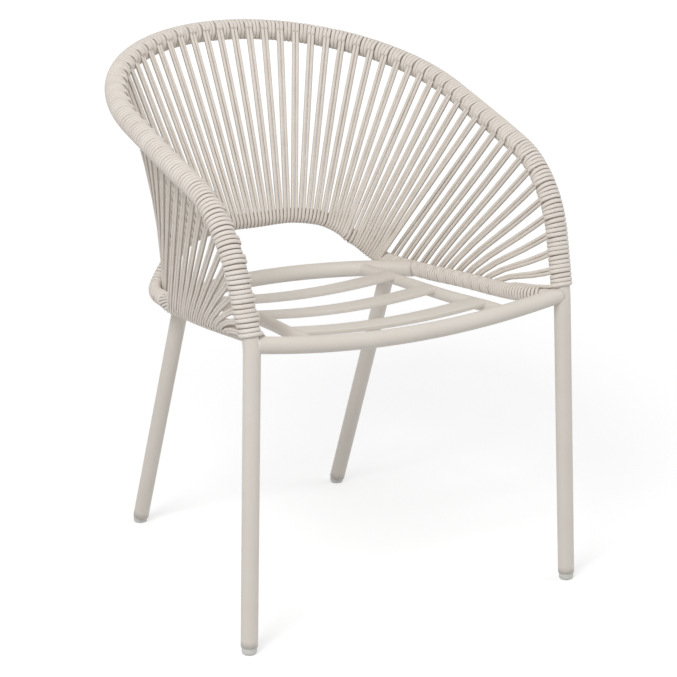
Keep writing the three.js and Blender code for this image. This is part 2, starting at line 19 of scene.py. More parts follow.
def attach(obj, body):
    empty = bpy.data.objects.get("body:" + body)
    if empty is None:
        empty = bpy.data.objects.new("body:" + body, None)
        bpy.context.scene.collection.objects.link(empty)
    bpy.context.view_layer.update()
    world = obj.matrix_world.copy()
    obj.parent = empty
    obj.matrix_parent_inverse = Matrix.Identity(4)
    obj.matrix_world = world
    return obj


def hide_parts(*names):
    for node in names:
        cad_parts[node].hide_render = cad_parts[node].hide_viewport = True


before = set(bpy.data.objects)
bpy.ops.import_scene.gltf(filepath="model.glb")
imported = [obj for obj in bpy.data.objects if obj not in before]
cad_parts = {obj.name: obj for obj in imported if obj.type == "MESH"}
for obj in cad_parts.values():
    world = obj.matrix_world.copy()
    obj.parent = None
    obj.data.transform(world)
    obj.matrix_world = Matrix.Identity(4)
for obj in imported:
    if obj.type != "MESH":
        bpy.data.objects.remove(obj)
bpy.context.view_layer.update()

# %% [markdown]
# ## The sizes
# Blender works in metres, but a workshop drawing is in millimetres, so every size is written in
# millimetres once, here, and turned into metres only when a mesh is made. `FRONT` is where the
# front legs' plane lies in the shared frame: depth grows from there towards the back.

# %% Sizes of the frame, in millimetres
MM = 0.001
FRONT = -263.238

TUBE = 11.0            # half the width of the big tube
ROD = 8.0              # half the width of the thinner rods
ARM_HALF = 243.6       # the hoop's half width at the back
BACK_DEEP = 532.2      # the hoop's rearmost point
BACK_HIGH = 687.4
ARM_FRONT_HIGH = 536.6
ARM_BEND = 150.0
FRONT_LEAN = math.radians(17.2)
LEG_BEND = 60.0
SEAT_HALF = 229.0
SEAT_FRONT_HIGH = 399.0
FRONT_FOOT = (242.6, -9.2)
REAR_FOOT = (163.2, 474.3)
FRONT_RAIL_DIP = 20.2
CORNER_HALF, CORNER_HIGH, CORNER_BEND = 179.0, 369.0, 30.0
ARCH_HIGH, ARCH_DEEP, ARCH_LEAN = 437.0, 418.0, 0.61
REAR_RAIL_DEEP, REAR_RAIL_END_DEEP, REAR_RAIL_DIP = 389.0, 293.0, 8.0
REAR_LEG_HALF = 162.0
INNER_REAR_HALF, INNER_FRONT_HALF = 133.0, 141.0
GLIDE_TALL = 10.0
print("tube", 2 * TUBE, "mm, rods", 2 * ROD, "mm, back", BACK_HIGH, "mm high")

# %% Sizes of the cord, in millimetres
CORD = 4.9             # the cord's thickness where it hangs free
WRAP_STEP = 5.9        # from one turn on the hoop to the next
WRAP_THICK = 3.5       # the cord is pressed flat where it is wound
PAIR_STEP = 4 * WRAP_STEP
ARCH_PAIRS, SIDE_PAIRS = 20, 13
LAST_PAIR = ARCH_PAIRS + SIDE_PAIRS
print("pairs of strands:", 2 * LAST_PAIR + 1)

# %% [markdown]
# ## A bent line that can be measured
# A tube bender works along the tube: so many millimetres straight, then a bend. A `Route` holds a
# line as many close points and answers the same question: where is the tube after so many
# millimetres, and which way does it point there? The cord needs this too, to be wound at an even
# step however the hoop bends.

# %% Routes
def unit(v):
    v = np.asarray(v, float)
    return v / np.linalg.norm(v, axis=-1, keepdims=True)


class Route:
    def __init__(self, points):
        self.points = np.asarray(points, float)
        steps = np.linalg.norm(np.diff(self.points, axis=0), axis=1)
        self.lengths = np.concatenate([[0.0], np.cumsum(steps)])
        self.total = float(self.lengths[-1])

    def at(self, along):
        along = np.clip(along, 0, self.total)
        return np.stack([np.interp(along, self.lengths, self.points[:, k]) for k in range(3)], -1)

    def heading(self, along, reach=1.5):
        return unit(self.at(np.add(along, reach)) - self.at(np.subtract(along, reach)))


def through(points, count):
    """A smooth centripetal Catmull-Rom line through a few points."""
    p = [np.asarray(q, float) for q in points]
    p = [2 * p[0] - p[1], *p, 2 * p[-1] - p[-2]]
    line = []
    for a, b, c, d in zip(p, p[1:], p[2:], p[3:]):
        t1 = np.linalg.norm(b - a) ** 0.5
        t2 = t1 + np.linalg.norm(c - b) ** 0.5
        t3 = t2 + np.linalg.norm(d - c) ** 0.5
        for t in np.linspace(t1, t2, count, endpoint=False):
            ab = a * (t1 - t) / t1 + b * t / t1
            bc = b * (t2 - t) / (t2 - t1) + c * (t - t1) / (t2 - t1)
            cd = c * (t3 - t) / (t3 - t2) + d * (t - t2) / (t3 - t2)
            abc = ab * (t2 - t) / t2 + bc * t / t2
            bcd = bc * (t3 - t) / (t3 - t1) + cd * (t - t1) / (t3 - t1)
            line.append(abc * (t2 - t) / (t2 - t1) + bcd * (t - t1) / (t2 - t1))
    return np.array([*line, p[-2]])


# %% [markdown]
# ## Sweeping a section along a route
# Tubes, rods and cords are all one section carried along a line. A curve object with a bevel would
# do it, but the cord must be pressed flat against whatever it is wound on, so its section has to
# turn with the tube under it. So one operator makes a flat grid as long as the line has points and
# as wide as the section has sides. The grid is rolled up: each vertex moves to its place on the
# section. Then the seam is merged and the two ends are filled. The grid's own UV map comes along
# for free: U runs down the length and V round the girth, which is what a cord's pattern needs.

# %% Which way a section faces
TUB_MIDDLE = np.array([0.0, FRONT + BACK_DEEP - 1.5 * ARM_HALF, 0.0])
print("sections face the middle of the tub at", TUB_MIDDLE.round(1))


def inward(point, heading):
    """The direction across the line that points at the middle of the tub."""
    way = (TUB_MIDDLE - point) * [1, 1, 0]
    way = way - heading * np.sum(way * heading, axis=-1, keepdims=True)
    return unit(way)


# %% The sweep
def add_sweep(mesh, centre, across, outward, wide, thick, sides, power=1.0):
    """Rolls a grid into a closed tube round the centre line. A power below 1 presses it flat."""
    stations = len(centre)
    layer = mesh.loops.layers.uv.verify()
    grid = bmesh.ops.create_grid(
        mesh, x_segments=stations - 1, y_segments=sides, size=0.5, calc_uvs=True)["verts"]
    wide, thick = np.broadcast_to(wide, stations), np.broadcast_to(thick, stations)
    turn = np.linspace(0, 2 * math.pi, sides + 1)
    flat_cos = np.sign(np.cos(turn)) * np.abs(np.cos(turn)) ** power
    flat_sin = np.sign(np.sin(turn)) * np.abs(np.sin(turn)) ** power
    ring = (centre[:, None] + across[:, None] * (wide[:, None] * flat_cos)[..., None]
            + outward[:, None] * (thick[:, None] * flat_sin)[..., None]) * MM
    length = np.sum(np.linalg.norm(np.diff(centre, axis=0), axis=1)) * MM
    for v in grid:
        i, j = round((v.co.x + 0.5) * (stations - 1)), round((v.co.y + 0.5) * sides)
        v.co = ring[i, j % sides]
    for face in {f for v in grid for f in v.link_faces}:
        for loop in face.loops:
            loop[layer].uv.x *= length


# %% Finishing a piece
def finish_mesh(name, mesh, material, nodes):
    """Merges seams, caps ends, makes the object and hides the CAD nodes it stands for."""
    bmesh.ops.remove_doubles(mesh, verts=mesh.verts, dist=1e-7)
    bmesh.ops.holes_fill(mesh, edges=[e for e in mesh.edges if e.is_boundary], sides=0)
    bmesh.ops.recalc_face_normals(mesh, faces=mesh.faces)
    data = bpy.data.meshes.new(name)
    mesh.to_mesh(data)
    mesh.free()
    data.shade_smooth()
    data.materials.append(material)
    piece = bpy.data.objects.new(name, data)
    bpy.context.collection.objects.link(piece)
    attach(piece, "root")
    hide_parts(*nodes)
    triangles = sum(len(f.vertices) - 2 for f in data.polygons)
    print(f"{name}: {triangles} triangles")
    return piece


# %% [markdown]
# ## The painted steel
# The frame is steel tube with a satin coat in a warm off-white. Sprayed or powdered paint is never
# quite flat: it has a faint orange peel, and it holds a little dust. Both effects are wanted in
# more than one material, so each is a node group: `peel` puts out a height for a Bump node, and
# `mottle` puts out a slow drift between two colours. They read Object coordinates, so the pattern
# stays where it is when the camera moves. The shader itself stays in the material.

# %% Node helpers
def new_group(name, inputs, outputs):
    group = bpy.data.node_groups.new(name, "ShaderNodeTree")
    for label, kind, value in inputs:
        socket = group.interface.new_socket(name=label, in_out="INPUT", socket_type=kind)
        if value is not None:
            socket.default_value = value
    for label, kind in outputs:
        group.interface.new_socket(name=label, in_out="OUTPUT", socket_type=kind)
    return group, group.nodes.new("NodeGroupInput"), group.nodes.new("NodeGroupOutput")


def add_node(tree, kind, settings=(), **values):
    made = tree.nodes.new(kind)
    for name, value in dict(settings).items():
        setattr(made, name, value)
    for name, value in values.items():
        made.inputs[name.replace("_", " ")].default_value = value
    return made


def maths(tree, operation, a, b=None):
    made = tree.nodes.new("ShaderNodeMath")
    made.operation = operation
    for slot, value in zip(made.inputs, (a, b)):
        if hasattr(value, "links"):
            tree.links.new(value, slot)
        elif value is not None:
            slot.default_value = value
    return made.outputs[0]


# %% The shared effects
def mottle_group():
    group, given, made = new_group(
        "mottle",
        [("Vector", "NodeSocketVector", None), ("Scale", "NodeSocketFloat", 8.0),
         ("Light", "NodeSocketColor", None), ("Dark", "NodeSocketColor", None)],
        [("Color", "NodeSocketColor"), ("Mask", "NodeSocketFloat")])
    noise = add_node(group, "ShaderNodeTexNoise", Detail=5.0, Roughness=0.6)
    ramp = add_node(group, "ShaderNodeMapRange", From_Min=0.3, From_Max=0.7)
    mix = add_node(group, "ShaderNodeMix", {"data_type": "RGBA"})
    link = group.links.new
    link(given.outputs["Vector"], noise.inputs["Vector"])
    link(given.outputs["Scale"], noise.inputs["Scale"])
    link(noise.outputs["Fac"], ramp.inputs["Value"])
    link(ramp.outputs["Result"], mix.inputs["Factor"])
    link(given.outputs["Light"], mix.inputs[6])
    link(given.outputs["Dark"], mix.inputs[7])
    link(mix.outputs[2], made.inputs["Color"])
    link(ramp.outputs["Result"], made.inputs["Mask"])
    return group


def peel_group():
    group, given, made = new_group(
        "peel",
        [("Vector", "NodeSocketVector", None), ("Scale", "NodeSocketFloat", 900.0)],
        [("Height", "NodeSocketFloat")])
    coarse = add_node(group, "ShaderNodeTexNoise", Detail=2.0, Roughness=0.5)
    link = group.links.new
    link(given.outputs["Vector"], coarse.inputs["Vector"])
    link(given.outputs["Scale"], coarse.inputs["Scale"])
    link(coarse.outputs["Fac"], made.inputs["Height"])
    return group


MOTTLE, PEEL = mottle_group(), peel_group()
print("shared effects:", MOTTLE.name, PEEL.name)


# %% [markdown]
# Colours are written as they look on screen and turned into the linear values that Blender mixes.

# %% Colours and materials
def shade(red, green, blue):
    """A colour given from 0 to 255 as it looks on screen, made linear."""
    return (*[((c / 255 + 0.055) / 1.055) ** 2.4 for c in (red, green, blue)], 1.0)


def new_material(name):
    material = bpy.data.materials.new(name)
    material.use_nodes = True
    return material, material.node_tree, material.node_tree.nodes["Principled BSDF"]


def use_group(tree, group, **values):
    made = tree.nodes.new("ShaderNodeGroup")
    made.node_tree = group
    for name, value in values.items():
        made.inputs[name].default_value = value
    return made


# %% A grainy material
def grainy_material(name, light, dark, drift, grain, strength, distance):
    """Drifts between two colours, with a fine grain; drift and grain are repeats in a metre."""
    material, tree, shader = new_material(name)
    place = tree.nodes.new("ShaderNodeTexCoord")
    mottle = use_group(tree, MOTTLE, Scale=drift, Light=light, Dark=dark)
    peel = use_group(tree, PEEL, Scale=grain)
    bump = add_node(tree, "ShaderNodeBump", Strength=strength, Distance=distance)
    link = tree.links.new
    link(place.outputs["Object"], mottle.inputs["Vector"])
    link(place.outputs["Object"], peel.inputs["Vector"])
    link(mottle.outputs["Color"], shader.inputs["Base Color"])
    link(peel.outputs["Height"], bump.inputs["Height"])
    link(bump.outputs["Normal"], shader.inputs["Normal"])
    return material, tree, shader, mottle


# %% Paint
def satin_paint(name, light, dark):
    material, tree, shader, mottle = grainy_material(name, light, dark, 14.0, 650.0, 0.12, 0.0002)
    rough = add_node(tree, "ShaderNodeMapRange", To_Min=0.40, To_Max=0.54)
    tree.links.new(mottle.outputs["Mask"], rough.inputs["Value"])
    tree.links.new(rough.outputs["Result"], shader.inputs["Roughness"])
    shader.inputs["Specular IOR Level"].default_value = 0.45
    return material


PAINT = satin_paint("satin_off_white", shade(217, 211, 202), shade(214, 207, 198))
print("paint:", PAINT.name)

# %% [markdown]
# ## The hoop
# One tube starts at the left foot, rises as a leg, kinks at the front rail, sweeps up and back as
# an arm, and turns round the back in a half circle before it comes down the same way on the right.
# Seen from the side it is two straight runs joined by one wide bend, and the arm's slope carries on
# up the back, so one side is worked out by length and the other is its mirror.

# %% The runs and bends of one side
SPREAD_SHARE = 0.7     # of one side's length, over which the arms draw apart
SPREAD_EASE = 0.47     # how much faster they do so at first
slope = (BACK_HIGH - ARM_FRONT_HIGH) / BACK_DEEP
arm_angle = math.atan(slope)
lean_deep, lean_high = math.sin(FRONT_LEAN), math.cos(FRONT_LEAN)
climb = (ARM_FRONT_HIGH - SEAT_FRONT_HIGH) / (lean_high - slope * lean_deep)
bend_turn = math.pi / 2 - arm_angle - FRONT_LEAN
bend_reach = ARM_BEND * math.tan(bend_turn / 2)
round_deep = BACK_DEEP - ARM_HALF
rise = climb - bend_reach
bend_run = ARM_BEND * bend_turn
arm_run = (round_deep - climb * lean_deep) / math.cos(arm_angle) - bend_reach
spread_run = (rise + bend_run + arm_run) * SPREAD_SHARE
print("side runs in mm: leg to bend", round(rise), "bend", round(bend_run), "arm", round(arm_run))


def hoop_side(run):
    """The right side of the hoop, so many millimetres above the front rail."""
    if run <= rise:
        deep, high = run * lean_deep, run * lean_high
    elif run <= rise + bend_run:
        turn = (run - rise) / ARM_BEND
        up, over = rise + ARM_BEND * math.sin(turn), ARM_BEND * (1 - math.cos(turn))
        deep, high = up * lean_deep + over * lean_high, up * lean_high - over * lean_deep
    else:
        along = run - rise - bend_run + bend_reach
        deep = climb * lean_deep + along * math.cos(arm_angle)
        high = climb * lean_high + along * math.sin(arm_angle)
    part = min(run / spread_run, 1)
    wide = SEAT_HALF + (ARM_HALF - SEAT_HALF) * part * (1 + SPREAD_EASE - SPREAD_EASE * part)
    return np.array([wide, FRONT + deep, SEAT_FRONT_HIGH + high])


# %% The hoop's route
front_foot = np.array([FRONT_FOOT[0], FRONT + FRONT_FOOT[1], 0.0])
front_corner = hoop_side(0)
front_way = unit(front_corner - front_foot)
kink = LEG_BEND * math.tan(FRONT_LEAN / 2)
leg_top, kink_end = front_corner - front_way * kink, hoop_side(kink)
leg = np.linspace(front_foot + front_way * GLIDE_TALL, leg_top, 40, endpoint=False)
bend = [(1 - t) ** 2 * leg_top + 2 * t * (1 - t) * front_corner + t * t * kink_end
        for t in np.linspace(0, 1, 12, endpoint=False)]
side = [hoop_side(run) for run in np.linspace(kink, rise + bend_run + arm_run, 400, endpoint=False)]
half_back = []
for turn in np.linspace(math.pi / 2, 0, 200):
    deep = round_deep + ARM_HALF * math.cos(turn)
    half_back.append([ARM_HALF * math.sin(turn), FRONT + deep, ARM_FRONT_HIGH + slope * deep])
right_half = np.array([*leg, *bend, *side, *half_back])
HOOP = Route([*(right_half * [-1, 1, 1]), *right_half[::-1][1:]])
print("hoop tube:", round(HOOP.total), "mm of tube")


# %% [markdown]
# ## Tubes and rods
# A round tube is the sweep with a round section. Where a tube is welded to another, the weld leaves
# a small smooth neck under the paint. Widening the last few millimetres of the section gives that
# neck without a separate piece. The ends run inside the tube they are welded to, a little thinner.
# Where two tubes of one size meet there is no room for a neck, and one is a hair thinner instead.

# %% Bent tubes
NECK_SIZE, NECK_REACH, NECK_FALL = 0.8, 5.5, 2.2
INSIDE = 3.0           # how far behind the weld a tube begins to thin
THINNER = 2.6
HAIR = 0.1


def bent_tube(name, route, radius, node, stations, sides=28, necks=(0, 0)):
    """A painted tube. Necks are how far in from each end the weld sits; 0 means no neck."""
    along = np.linspace(0, route.total, stations)
    for i, neck in enumerate(necks):
        if neck:
            close = neck + np.linspace(-INSIDE, 7, 16)
            along = np.concatenate([along, close if i == 0 else route.total - close])
    along = np.unique(np.round(np.clip(along, 0, route.total), 3))
    widths = np.full(len(along), float(radius))
    for i, neck in enumerate(necks):
        if neck:
            gap = (along if i == 0 else route.total - along) - neck
            widths += NECK_SIZE * np.clip(1 - gap / NECK_REACH, 0, 1) ** NECK_FALL
            widths -= (NECK_SIZE + THINNER) * np.clip((-gap - INSIDE) / INSIDE, 0, 1)
    centre, heading = route.at(along), route.heading(along)
    outward = inward(centre, heading)
    across = np.cross(heading, outward)
    mesh = bmesh.new()
    add_sweep(mesh, centre, across, outward, widths, widths, sides)
    finish_mesh(name, mesh, PAINT, [node])


bent_tube("hoop_bent_tube", HOOP, TUBE, "hoop_tube", 260)

# %% [markdown]
# The front rail joins the two front legs where the hoop kinks. It dips in the middle, so that it
# does not press under the thighs. Its ends stop inside the legs.

# %% The front rail
END_INSIDE = 3.0       # how far a big tube ends short of the middle of the tube it is welded to


def front_rail_high(x):
    return SEAT_FRONT_HIGH - FRONT_RAIL_DIP * (1 - (x / SEAT_HALF) ** 2)


FRONT_RAIL = Route([[x, FRONT, front_rail_high(x)]
                    for x in np.linspace(END_INSIDE - SEAT_HALF, SEAT_HALF - END_INSIDE, 160)])
bent_tube("front_rail_tube", FRONT_RAIL, TUBE - 2 * HAIR, "front_rail", 90)
print("front rail:", round(FRONT_RAIL.total), "mm of tube")

# %% [markdown]
# ## The lacing rail
# A thinner rod runs back from each front leg, draws inwards, turns the rear corner and climbs over
# the back of the seat as a low arch. Every cord of the tub is laced down to it. The points are the
# ones the solid model uses, as shares of the side run and of the arch, and a smooth line goes
# through them.

# %% The lacing rail's route
SIDE_IN = [0, 0.42, 0.62, 0.66, 0.66, 0.7, 0.76, 0.78, 0.9]
SIDE_DEEP = [0, 0.061, 0.157, 0.29, 0.452, 0.574, 0.659, 0.784, 0.88]
SIDE_DROP = [0, 0.14, 0.28, 0.45, 0.63, 0.77, 0.87, 1, 1.03]
ARCH_WIDE = [0.84, 0.79, 0.755, 0.69, 0.59, 0.49, 0.3]
ARCH_DROP = [0.6, 0.52, 0.41, 0.28, 0.147, 0.074, 0]

corner_deep = ARCH_DEEP - ARCH_LEAN * (ARCH_HIGH - CORNER_HIGH)
corner = np.array([CORNER_HALF, FRONT + corner_deep, CORNER_HIGH])
side_points = [np.array([SEAT_HALF - (SEAT_HALF - CORNER_HALF) * a, FRONT + corner_deep * b,
                         SEAT_FRONT_HIGH - (SEAT_FRONT_HIGH - CORNER_HIGH) * c])
               for a, b, c in zip(SIDE_IN, SIDE_DEEP, SIDE_DROP)]
arch_points = []
for wide, drop in zip(ARCH_WIDE, ARCH_DROP):
    down = (ARCH_HIGH - CORNER_HIGH) * drop
    arch_points.append(np.array([CORNER_HALF * wide, FRONT + ARCH_DEEP - ARCH_LEAN * down,
                                 ARCH_HIGH - down]))
way_in, way_out = unit(corner - side_points[-1]), unit(arch_points[0] - corner)
corner_turn = math.acos(float(way_in @ way_out))
reach = CORNER_BEND * math.tan(corner_turn / 2)
cut_in = CORNER_BEND / math.cos(corner_turn / 2) - CORNER_BEND
corner_points = [corner - way_in * reach, corner + unit(way_out - way_in) * cut_in,
                 corner + way_out * reach]
right_rail = [*side_points, *corner_points, *arch_points]
left_rail = [p * [-1, 1, 1] for p in right_rail]
crown = np.array([0, FRONT + ARCH_DEEP, ARCH_HIGH])
RAIL = Route(through([*left_rail, crown, *right_rail[::-1]], 30))
bent_tube("lacing_rail_rod", RAIL, ROD, "lacing_rail", 260, sides=22, necks=(10, 10))
print("lacing rail:", round(RAIL.total), "mm of rod")

# %% [markdown]
# ## The rear rail and the rear legs
# A big tube bows backwards between the two side runs of the lacing rail, under the arch, and the
# rear legs are welded under it. They rake backwards so that the chair stands firm. A straight leg
# still goes through the same helper, as a route of two points.

# %% Rear rail
right_run = RAIL.points[RAIL.points[:, 0] > CORNER_HALF]
rear_seat = right_run[np.argmin(np.abs(right_run[:, 1] - FRONT - REAR_RAIL_END_DEEP))]
rear_half = rear_seat[0]
bow = REAR_RAIL_DEEP - REAR_RAIL_END_DEEP
rear_round = (rear_half ** 2 + bow ** 2) / (2 * bow)


def rear_rail_at(x):
    deep = REAR_RAIL_DEEP - rear_round + math.sqrt(rear_round ** 2 - x ** 2)
    return np.array([x, FRONT + deep, rear_seat[2] - REAR_RAIL_DIP * (1 - (x / rear_half) ** 2)])


rear_end = rear_half - ROD / 2
REAR_RAIL = Route([rear_rail_at(x) for x in np.linspace(-rear_end, rear_end, 160)])
bent_tube("rear_rail_tube", REAR_RAIL, TUBE, "rear_rail", 90)
print("rear rail:", round(REAR_RAIL.total), "mm of tube")

# %% Rear legs
feet = [(front_foot * [s, 1, 1], front_way * [s, 1, 1]) for s in (-1, 1)]
for sign, side_name in ((-1, "left"), (1, "right")):
    top = rear_rail_at(sign * REAR_LEG_HALF)
    foot = np.array([sign * REAR_FOOT[0], FRONT + REAR_FOOT[1], 0.0])
    way = unit(top - foot)
    feet.append((foot, way))
    line = Route([foot + way * GLIDE_TALL, top - way * END_INSIDE])
    bent_tube(f"rear_leg_tube_{side_name}", line, TUBE - HAIR, f"rear_leg_{side_name}", 30)
print("rear legs:", round(line.total), "mm each")

# %% [markdown]
# ## The seat
# Two more rods run forward from the rear rail to the front rail and draw apart a little at the
# front. They carry three flat bars, pressed into a shallow dip, which make the bare seat. A bar
# starts as a cube: it is scaled, its long edges are bevelled, it is cut into short lengths and
# then each vertex is lowered by how near it is to the middle, which bends the bar.

# %% Inner rails
INNER_DEEP = [1, 0.72, 0.36, 0.24, 0.12, 0]
INNER_OUT = [0, 0, 0, 0.45, 0.95, 1]
inner_rear = rear_rail_at(INNER_REAR_HALF)
inner_front_high = front_rail_high(INNER_FRONT_HALF)


def inner_route(sign):
    points = []
    for deep, wide in zip(INNER_DEEP, INNER_OUT):
        points.append([sign * (INNER_REAR_HALF + (INNER_FRONT_HALF - INNER_REAR_HALF) * wide),
                       FRONT + (inner_rear[1] - FRONT) * deep,
                       inner_front_high + (inner_rear[2] - inner_front_high) * deep])
    return Route(through(points, 24))


for sign, side_name in ((-1, "left"), (1, "right")):
    bent_tube(f"inner_rail_rod_{side_name}", inner_route(sign), ROD, f"inner_rail_{side_name}", 60,
              sides=22, necks=(9.5, 9.5))

# %% Seat bars
SLAT_WIDE, SLAT_THICK, SLAT_DIP, SLAT_EDGE = 36.0, 5.5, 8.0, 1.1
SLAT_FIRST, SLAT_STEP = 38.0, 105.5      # the first bar's front edge, and from bar to bar
INNER = inner_route(1)


def inner_at(deep):
    return INNER.points[np.argmin(np.abs(INNER.points[:, 1] - FRONT - deep))]


def seat_bar(name, node, front_deep):
    seat = inner_at(front_deep + SLAT_WIDE / 2)
    ahead, behind = inner_at(front_deep), inner_at(front_deep + SLAT_WIDE)
    half = seat[0] - ROD / 4
    mesh = bmesh.new()
    bmesh.ops.create_cube(mesh, size=1.0)
    bmesh.ops.scale(mesh, vec=(2 * half, SLAT_WIDE, SLAT_THICK), verts=mesh.verts)
    bmesh.ops.translate(mesh, vec=(0, 0, -SLAT_THICK / 2), verts=mesh.verts)
    long_edges = [e for e in mesh.edges if abs(e.verts[0].co.x - e.verts[1].co.x) > half]
    bmesh.ops.bevel(mesh, geom=long_edges, offset=SLAT_EDGE, offset_type="OFFSET", segments=3,
                    profile=0.5, affect="EDGES", material=-1)
    long_edges = [e for e in mesh.edges if abs(e.verts[0].co.x - e.verts[1].co.x) > half]
    bmesh.ops.subdivide_edges(mesh, edges=long_edges, cuts=31, use_grid_fill=True)
    for v in mesh.verts:
        v.co.z -= SLAT_DIP * (1 - (v.co.x / half) ** 2)
    tilt = math.atan2(behind[2] - ahead[2], behind[1] - ahead[1])
    bmesh.ops.rotate(mesh, verts=mesh.verts, matrix=Matrix.Rotation(tilt, 3, "X"))
    bmesh.ops.translate(mesh, vec=(0, seat[1], seat[2] + ROD), verts=mesh.verts)
    bmesh.ops.scale(mesh, vec=(MM, MM, MM), verts=mesh.verts)
    piece = finish_mesh(name, mesh, PAINT, [node])
    piece.data.set_sharp_from_angle(angle=math.radians(25))


for i, place_name in enumerate(("front", "middle", "rear")):
    seat_bar(f"seat_bar_{place_name}", f"seat_slat_{place_name}", SLAT_FIRST + SLAT_STEP * i)

# %% [markdown]
# ## The foot glides
# Each leg ends in a moulded plug of pale, slightly milky plastic, a little narrower than the tube,
# with a rounded foot. It is a lathe job: half its outline is drawn once and spun round the leg's
# own axis. The legs lean, so the plug is spun upright, leaned over, and cut level with the floor.

# %% The glide's plastic
PLASTIC, _, shader, _ = grainy_material(
    "milky_glide_plastic", shade(214, 214, 210), shade(203, 202, 197), 40.0, 1800.0, 0.1, 0.0001)
shader.inputs["Roughness"].default_value = 0.38
shader.inputs["Subsurface Weight"].default_value = 0.25
shader.inputs["Subsurface Radius"].default_value = (0.004, 0.004, 0.004)
print("glide plastic:", PLASTIC.name)


# %% The four glides
GLIDE_OUTLINE = [(0, -4), (7.0, -4), (7.4, 0), (8.6, 0.7), (9.4, 1.9), (9.8, 3.6), (9.8, 8.6),
                 (9.4, 9.6), (8.2, 9.7), (0, 9.7)]


def foot_glide(name, node, foot, way):
    mesh = bmesh.new()
    points = [mesh.verts.new((x, 0, z)) for x, z in GLIDE_OUTLINE]
    edges = [mesh.edges.new(two) for two in zip(points, points[1:])]
    bmesh.ops.spin(mesh, geom=points + edges, cent=(0, 0, 0), axis=(0, 0, 1), dvec=(0, 0, 0),
                   angle=2 * math.pi, steps=32, use_merge=True, use_duplicate=False)
    bmesh.ops.remove_doubles(mesh, verts=mesh.verts, dist=1e-4)
    lean = Vector((0, 0, 1)).rotation_difference(Vector(way)).to_matrix()
    bmesh.ops.rotate(mesh, verts=mesh.verts, matrix=lean)
    bmesh.ops.translate(mesh, vec=Vector(foot), verts=mesh.verts)
    bmesh.ops.bisect_plane(mesh, geom=[*mesh.verts, *mesh.edges, *mesh.faces], plane_co=(0, 0, 0),
                           plane_no=(0, 0, 1), clear_inner=True, clear_outer=False)
    bmesh.ops.scale(mesh, vec=(MM, MM, MM), verts=mesh.verts)
    piece = finish_mesh(name, mesh, PLASTIC, [node])
    piece.data.set_sharp_from_angle(angle=math.radians(60))


for leg_name, (foot, way) in zip(("front_left", "front_right", "rear_left", "rear_right"), feet):
    foot_glide(f"foot_plug_{leg_name}", f"foot_glide_{leg_name}", foot, way)

# %% [markdown]
# ## The cord
# The cord is a plaited synthetic one, about five millimetres thick, a touch darker than the paint.
# Two families of fine ridges run round it in opposite turns and cross, which is what plaiting looks
# like from close by. Along the cord's own UV map, U is its length in metres and V goes once round
# it, so a ridge is simply a line where U and V grow together. The cord's colour is also painted
# a little darker along its two edges, where turns touch: painted shade.

# %% The plait
VALLEY = 0.35          # ridges flatten out below this height
EDGE_NARROW = 1.7      # the higher, the narrower the dark edges


def plait_group():
    group, given, made = new_group(
        "plait",
        [("UV", "NodeSocketVector", None), ("Per metre", "NodeSocketFloat", 260.0),
         ("Round", "NodeSocketFloat", 4.0)],
        [("Height", "NodeSocketFloat"), ("Edge", "NodeSocketFloat")])
    parts = group.nodes.new("ShaderNodeSeparateXYZ")
    group.links.new(given.outputs["UV"], parts.inputs[0])
    along = maths(group, "MULTIPLY", parts.outputs["X"], given.outputs["Per metre"])
    round_it = maths(group, "MULTIPLY", parts.outputs["Y"], given.outputs["Round"])
    one = maths(group, "PINGPONG", maths(group, "ADD", along, round_it), 0.5)
    other = maths(group, "PINGPONG", maths(group, "SUBTRACT", along, round_it), 0.5)
    ridge = maths(group, "MULTIPLY", maths(group, "MAXIMUM", one, other), 2.0)
    group.links.new(maths(group, "SMOOTH_MAX", ridge, VALLEY), made.inputs["Height"])
    # The edge mask: 1 along the cord's two edges, where the painted shade goes
    girth = maths(group, "SINE", maths(group, "MULTIPLY", parts.outputs["Y"], 2 * math.pi))
    inner = maths(group, "MULTIPLY", maths(group, "ABSOLUTE", girth), EDGE_NARROW)
    group.links.new(maths(group, "MAXIMUM", maths(group, "SUBTRACT", 1.0, inner), 0.0),
                    made.inputs["Edge"])
    return group


PLAIT = plait_group()
print("cord pattern:", PLAIT.name)


# %% The cord's material
# Painted shade: the cord is darkened towards this tone along its edges and in the plait's valleys
EDGE_SHADE, VALLEY_SHADE = 0.75, 0.16
PAINTED_SHADE_TONE = shade(150, 140, 128)


def plaited_cord(name, light, dark):
    material, tree, shader = new_material(name)
    place = tree.nodes.new("ShaderNodeTexCoord")
    mottle = use_group(tree, MOTTLE, Scale=45.0, Light=light, Dark=dark)
    plait = use_group(tree, PLAIT)
    bump = add_node(tree, "ShaderNodeBump", Strength=0.3, Distance=0.0003)
    tone = add_node(tree, "ShaderNodeMix", {"data_type": "RGBA", "blend_type": "MULTIPLY"})
    # Painted shade in the plait's valleys: the lower the plait, the darker the colour
    depth = add_node(tree, "ShaderNodeMapRange", From_Max=0.9, To_Max=VALLEY_SHADE)
    link = tree.links.new
    link(place.outputs["Object"], mottle.inputs["Vector"])
    link(place.outputs["UV"], plait.inputs["UV"])
    link(maths(tree, "SUBTRACT", 1.0, plait.outputs["Height"]), depth.inputs["Value"])
    edge = maths(tree, "MULTIPLY", plait.outputs["Edge"], EDGE_SHADE)
    link(maths(tree, "ADD", depth.outputs["Result"], edge), tone.inputs["Factor"])
    link(mottle.outputs["Color"], tone.inputs[6])
    tone.inputs[7].default_value = PAINTED_SHADE_TONE
    link(tone.outputs[2], shader.inputs["Base Color"])
    link(plait.outputs["Height"], bump.inputs["Height"])
    link(bump.outputs["Normal"], shader.inputs["Normal"])
    shader.inputs["Roughness"].default_value = 0.72
    shader.inputs["Specular IOR Level"].default_value = 0.3
    return material


CORD_FINISH = plaited_cord("plaited_cord", shade(232, 225, 217), shade(223, 215, 206))
print("cord finish:", CORD_FINISH.name)

